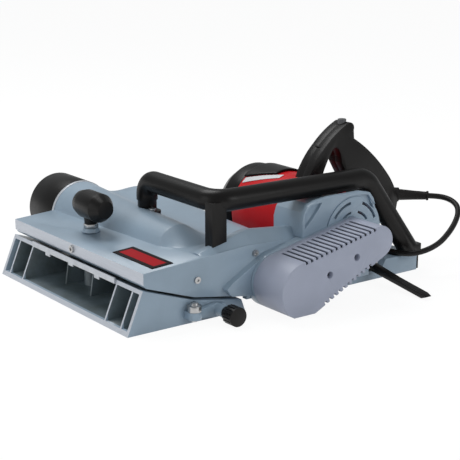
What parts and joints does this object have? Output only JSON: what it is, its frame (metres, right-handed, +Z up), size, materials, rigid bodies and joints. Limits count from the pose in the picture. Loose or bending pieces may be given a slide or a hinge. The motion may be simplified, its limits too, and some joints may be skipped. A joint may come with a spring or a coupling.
{
  "type": "thickness planer",
  "caption": "Hand-guided thickness planer for wide boards: ribbed front shoe, cast housing with side chip outlet, belt-driven cutter, hoop handle, rear switch handle and mains cord.",
  "frame": {"origin": "middle of the rear sole's lower face, on the plane the machine stands on", "axes": "+X towards the belt side, +Y to the rear, +Z up; the machine planes towards -Y"},
  "size_m": [0.5143, 0.642, 0.215],
  "materials": {
    "body_paint": "satin blue-grey paint on cast alloy",
    "cover_plastic": "moulded lilac-grey plastic, satin",
    "cast_silver": "bright machined casting",
    "bright_steel": "zinc plated, satin",
    "dark_steel": "black oxide",
    "core_steel": "laminated steel",
    "cutter_alloy": "turned alloy",
    "badge_red": "red plate with black frame, bare",
    "red_plastic": "moulded red plastic, satin",
    "black_plastic": "moulded warm-black plastic",
    "grey_plastic": "dark grey plastic",
    "black_rubber": "matt rubber",
    "belt_rubber": "ribbed belt rubber",
    "cord_rubber": "matt rubber sheath",
    "carbon": "pressed carbon",
    "brass": "pressed brass",
    "copper": "turned copper segments"
  },
  "bodies": {
    "machine": {"main_housing": "body_paint", "guide_posts": "bright_steel", "side_screws": "bright_steel", "front_bolt": "bright_steel", "badge_plate": "badge_red", "knob_bush": "body_paint", "chip_collar": "cast_silver", "rear_sole": "body_paint", "rear_end_strip": "black_plastic", "belt_base": "body_paint", "belt_cover": "cover_plastic", "cover_screws": "dark_steel", "drive_belt": "belt_rubber", "cutter_bearings": "bright_steel", "motor_case": "red_plastic", "motor_end_cap": "black_plastic", "motor_shield": "body_paint", "stator": "core_steel", "motor_bearings": "bright_steel", "carbon_brushes": "carbon", "brush_holders": "brass", "hoop_handle": "black_plastic", "hoop_screws": "bright_steel", "switch_handle_far": "black_plastic", "switch_handle_near": "black_plastic", "switch_block": "grey_plastic", "cable_gland": "black_rubber", "handle_screws": "dark_steel", "rest_bracket": "bright_steel", "rest_pin": "bright_steel", "power_cord": "cord_rubber", "cord_coil": "cord_rubber", "mains_plug": "cord_rubber"},
    "front_shoe": {"front_shoe": "body_paint", "guide_strip": "cast_silver", "fence_bracket": "body_paint", "bracket_bolt": "bright_steel"},
    "depth_knob": {"knob_grip": "black_plastic", "knob_spindle": "bright_steel", "knob_nut": "bright_steel"},
    "cutter": {"cutter_block": "cutter_alloy", "planer_knives": "bright_steel", "knife_wedges": "core_steel", "wedge_screws": "dark_steel", "cutter_pulley": "cutter_alloy"},
    "armature": {"motor_shaft": "bright_steel", "armature_core": "core_steel", "commutator": "copper", "cooling_fan": "grey_plastic", "motor_pulley": "bright_steel"},
    "trigger": {"switch_trigger": "black_plastic"},
    "lock_button": {"lock_button": "grey_plastic"},
    "nozzle": {"chip_nozzle": "black_plastic"},
    "side_knob": {"fence_knob": "black_plastic", "fence_knob_screw": "bright_steel"},
    "rest": {"rest_lever": "black_plastic"}
  },
  "joints": [
    {"name": "knob_turn", "type": "hinge", "parent": "machine", "child": "depth_knob", "pos_m": [-0.033, -0.295, 0.11], "axis": [0, 0, 1], "range_deg": [0, 300]},
    {"name": "shoe_lift", "type": "slide", "parent": "machine", "child": "front_shoe", "axis": [0, 0, 1], "range_m": [0, 0.003]},
    {"name": "cutter_spin", "type": "hinge", "parent": "machine", "child": "cutter", "pos_m": [0, -0.147, 0.037], "axis": [1, 0, 0], "continuous": true},
    {"name": "armature_spin", "type": "hinge", "parent": "machine", "child": "armature", "pos_m": [0, -0.021, 0.08], "axis": [1, 0, 0], "continuous": true},
    {"name": "trigger_squeeze", "type": "slide", "parent": "machine", "child": "trigger", "axis": [0, -0.8944, 0.4473], "range_m": [0, 0.006], "stiffness_N_per_m": 1500, "springref_m": -0.001},
    {"name": "lock_press", "type": "slide", "parent": "machine", "child": "lock_button", "axis": [0, 0, -1], "range_m": [0, 0.004], "stiffness_N_per_m": 800, "springref_m": -0.001},
    {"name": "nozzle_swivel", "type": "hinge", "parent": "machine", "child": "nozzle", "pos_m": [-0.2, -0.233, 0.069], "axis": [1, 0, 0], "range_deg": [-180, 180]},
    {"name": "side_knob_turn", "type": "hinge", "parent": "front_shoe", "child": "side_knob", "pos_m": [0.2, -0.234, 0.0135], "axis": [1, 0, 0], "range_deg": [-180, 180]},
    {"name": "rest_swing", "type": "hinge", "parent": "machine", "child": "rest", "pos_m": [0.158, 0.033, 0.02], "axis": [0, -1, 0], "range_deg": [0, 45]}
  ],
  "couplings": [
    {"joint": "knob_turn", "follows": "shoe_lift", "rad_per_m": 1745.3},
    {"joint": "armature_spin", "follows": "cutter_spin", "ratio": 2}
  ]
}
